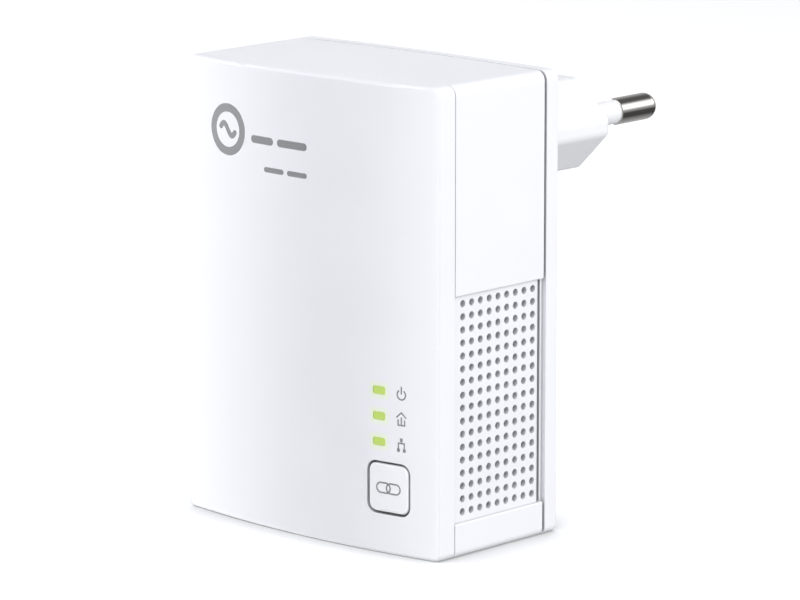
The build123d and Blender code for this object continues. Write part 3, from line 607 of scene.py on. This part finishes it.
def compass(azimuth, elevation):
    """The unit vector towards a direction in degrees; azimuth runs from the front to the right."""
    azimuth = math.radians(azimuth)
    elevation = math.radians(elevation)
    return Vector((
        math.sin(azimuth) * math.cos(elevation),
        -math.cos(azimuth) * math.cos(elevation),
        math.sin(elevation),
    ))


def softbox(name, azimuth, elevation, power, colour=(1.0, 1.0, 1.0), size=0.45, distance=0.7):
    """A square area light that faces the middle of the housing."""
    outwards = compass(azimuth, elevation)
    data = bpy.data.lights.new(name, "AREA")
    data.size = size
    data.energy = power
    data.color = colour
    light = bpy.data.objects.new(name, data)
    light.matrix_world = Matrix.Translation(
        Vector((0.0, 0.0, housing_top / 2)) + outwards * distance
    ) @ outwards.to_track_quat("Z", "Y").to_matrix().to_4x4()
    light.visible_glossy = False
    bpy.context.scene.collection.objects.link(light)
    return light


def window(tree, value, middle, half, soft, wraps):
    """1 where value is within half of middle, fading to 0 over soft on either side."""
    offset = maths(tree, "SUBTRACT", value, middle)
    if wraps:
        offset = add(
            tree, "ShaderNodeMath", {0: offset, 1: -180.0, 2: 180.0}, operation="WRAP"
        ).outputs[0]
    return remap(tree, maths(tree, "ABSOLUTE", offset), 1.0, 0.0, half - soft, half + soft, smooth=True)


def patched(tree, direction, base, patches):
    """The brightness of a studio around the object, towards a direction. Each patch is
    (azimuth, half width, elevation, half height, softness, brightness), in degrees."""
    unit = add(tree, "ShaderNodeVectorMath", {0: direction}, operation="NORMALIZE").outputs[0]
    split = add(tree, "ShaderNodeSeparateXYZ", {0: unit})
    ahead = maths(tree, "MULTIPLY", split.outputs[1], -1.0)
    azimuth = maths(tree, "DEGREES", maths(tree, "ARCTAN2", split.outputs[0], ahead))
    elevation = maths(tree, "DEGREES", maths(tree, "ARCSINE", split.outputs[2]))
    level = base
    for middle, half, height, half_height, soft, brightness in patches:
        inside = maths(
            tree,
            "MULTIPLY",
            window(tree, azimuth, middle, half, soft, True),
            window(tree, elevation, height, half_height, soft, False),
        )
        added = maths(tree, "SUBTRACT", brightness, level)
        level = maths(tree, "ADD", level, maths(tree, "MULTIPLY", added, inside))
    return level


def studio_dome(base, patches):
    """A sphere that only reflections see, with soft bright and dark panels around the object."""
    mesh = bmesh.new()
    bmesh.ops.create_icosphere(mesh, subdivisions=4, radius=2.0)
    data = bpy.data.meshes.new("studio_dome")
    mesh.to_mesh(data)
    mesh.free()
    material = bpy.data.materials.new("studio_dome")
    material.use_nodes = True
    material.cycles.emission_sampling = "NONE"
    tree = material.node_tree
    tree.nodes.clear()
    direction = add(tree, "ShaderNodeTexCoord").outputs["Object"]
    shine = emitter(tree, (1.0, 1.0, 1.0, 1.0), patched(tree, direction, base, patches))
    add(tree, "ShaderNodeOutputMaterial", {"Surface": shine.outputs[0]})
    data.materials.append(material)
    dome = bpy.data.objects.new("studio_dome", data)
    bpy.context.scene.collection.objects.link(dome)
    only_seen_by(dome, "glossy")
    return dome


def studio_world(up_colour, down_colour):
    """An even sky that is one colour above the horizon and another below it."""
    world = bpy.data.worlds.new("studio")
    world.use_nodes = True
    tree = world.node_tree
    direction = add(tree, "ShaderNodeTexCoord").outputs["Generated"]
    height = add(tree, "ShaderNodeSeparateXYZ", {0: direction}).outputs[2]
    upward = remap(tree, height, 0.0, 1.0, -0.15, 0.15)
    tree.links.new(mix(tree, upward, down_colour, up_colour), tree.nodes["Background"].inputs["Color"])
    bpy.context.scene.world = world


# what the front reflects: a bright panel far to the left and one straight ahead
front_panels = [
    (-73, 26, -10, 45, 6, 6.0),
    (-4, 22, -10, 45, 9, 10.4),
]
# what the pins reflect: a dark ceiling, a bright band over a dark one, and the bright floor
pin_panels = [
    (180, 60, 44, 14, 10, 0.12),
    (150, 24, 21, 12, 6, 2.0),
    (150, 40, -20, 16, 8, 0.08),
]
studio_dome(0.52, front_panels + pin_panels)
cool = (0.97, 0.98, 1.06)
softbox("key_left", -85, 15, 2.5, cool)
softbox("fill_front", 30, 30, 0.9, cool)
softbox("key_right", 95, 15, 2.5)
softbox("key_right_high", 90, 45, 0.6)
softbox("key_top", -60, 75, 0.55)
studio_world((0.64, 0.65, 0.67, 1.0), (0.44, 0.45, 0.47, 1.0))

view = bpy.context.scene.view_settings
view.view_transform = "Standard"
view.look = "None"
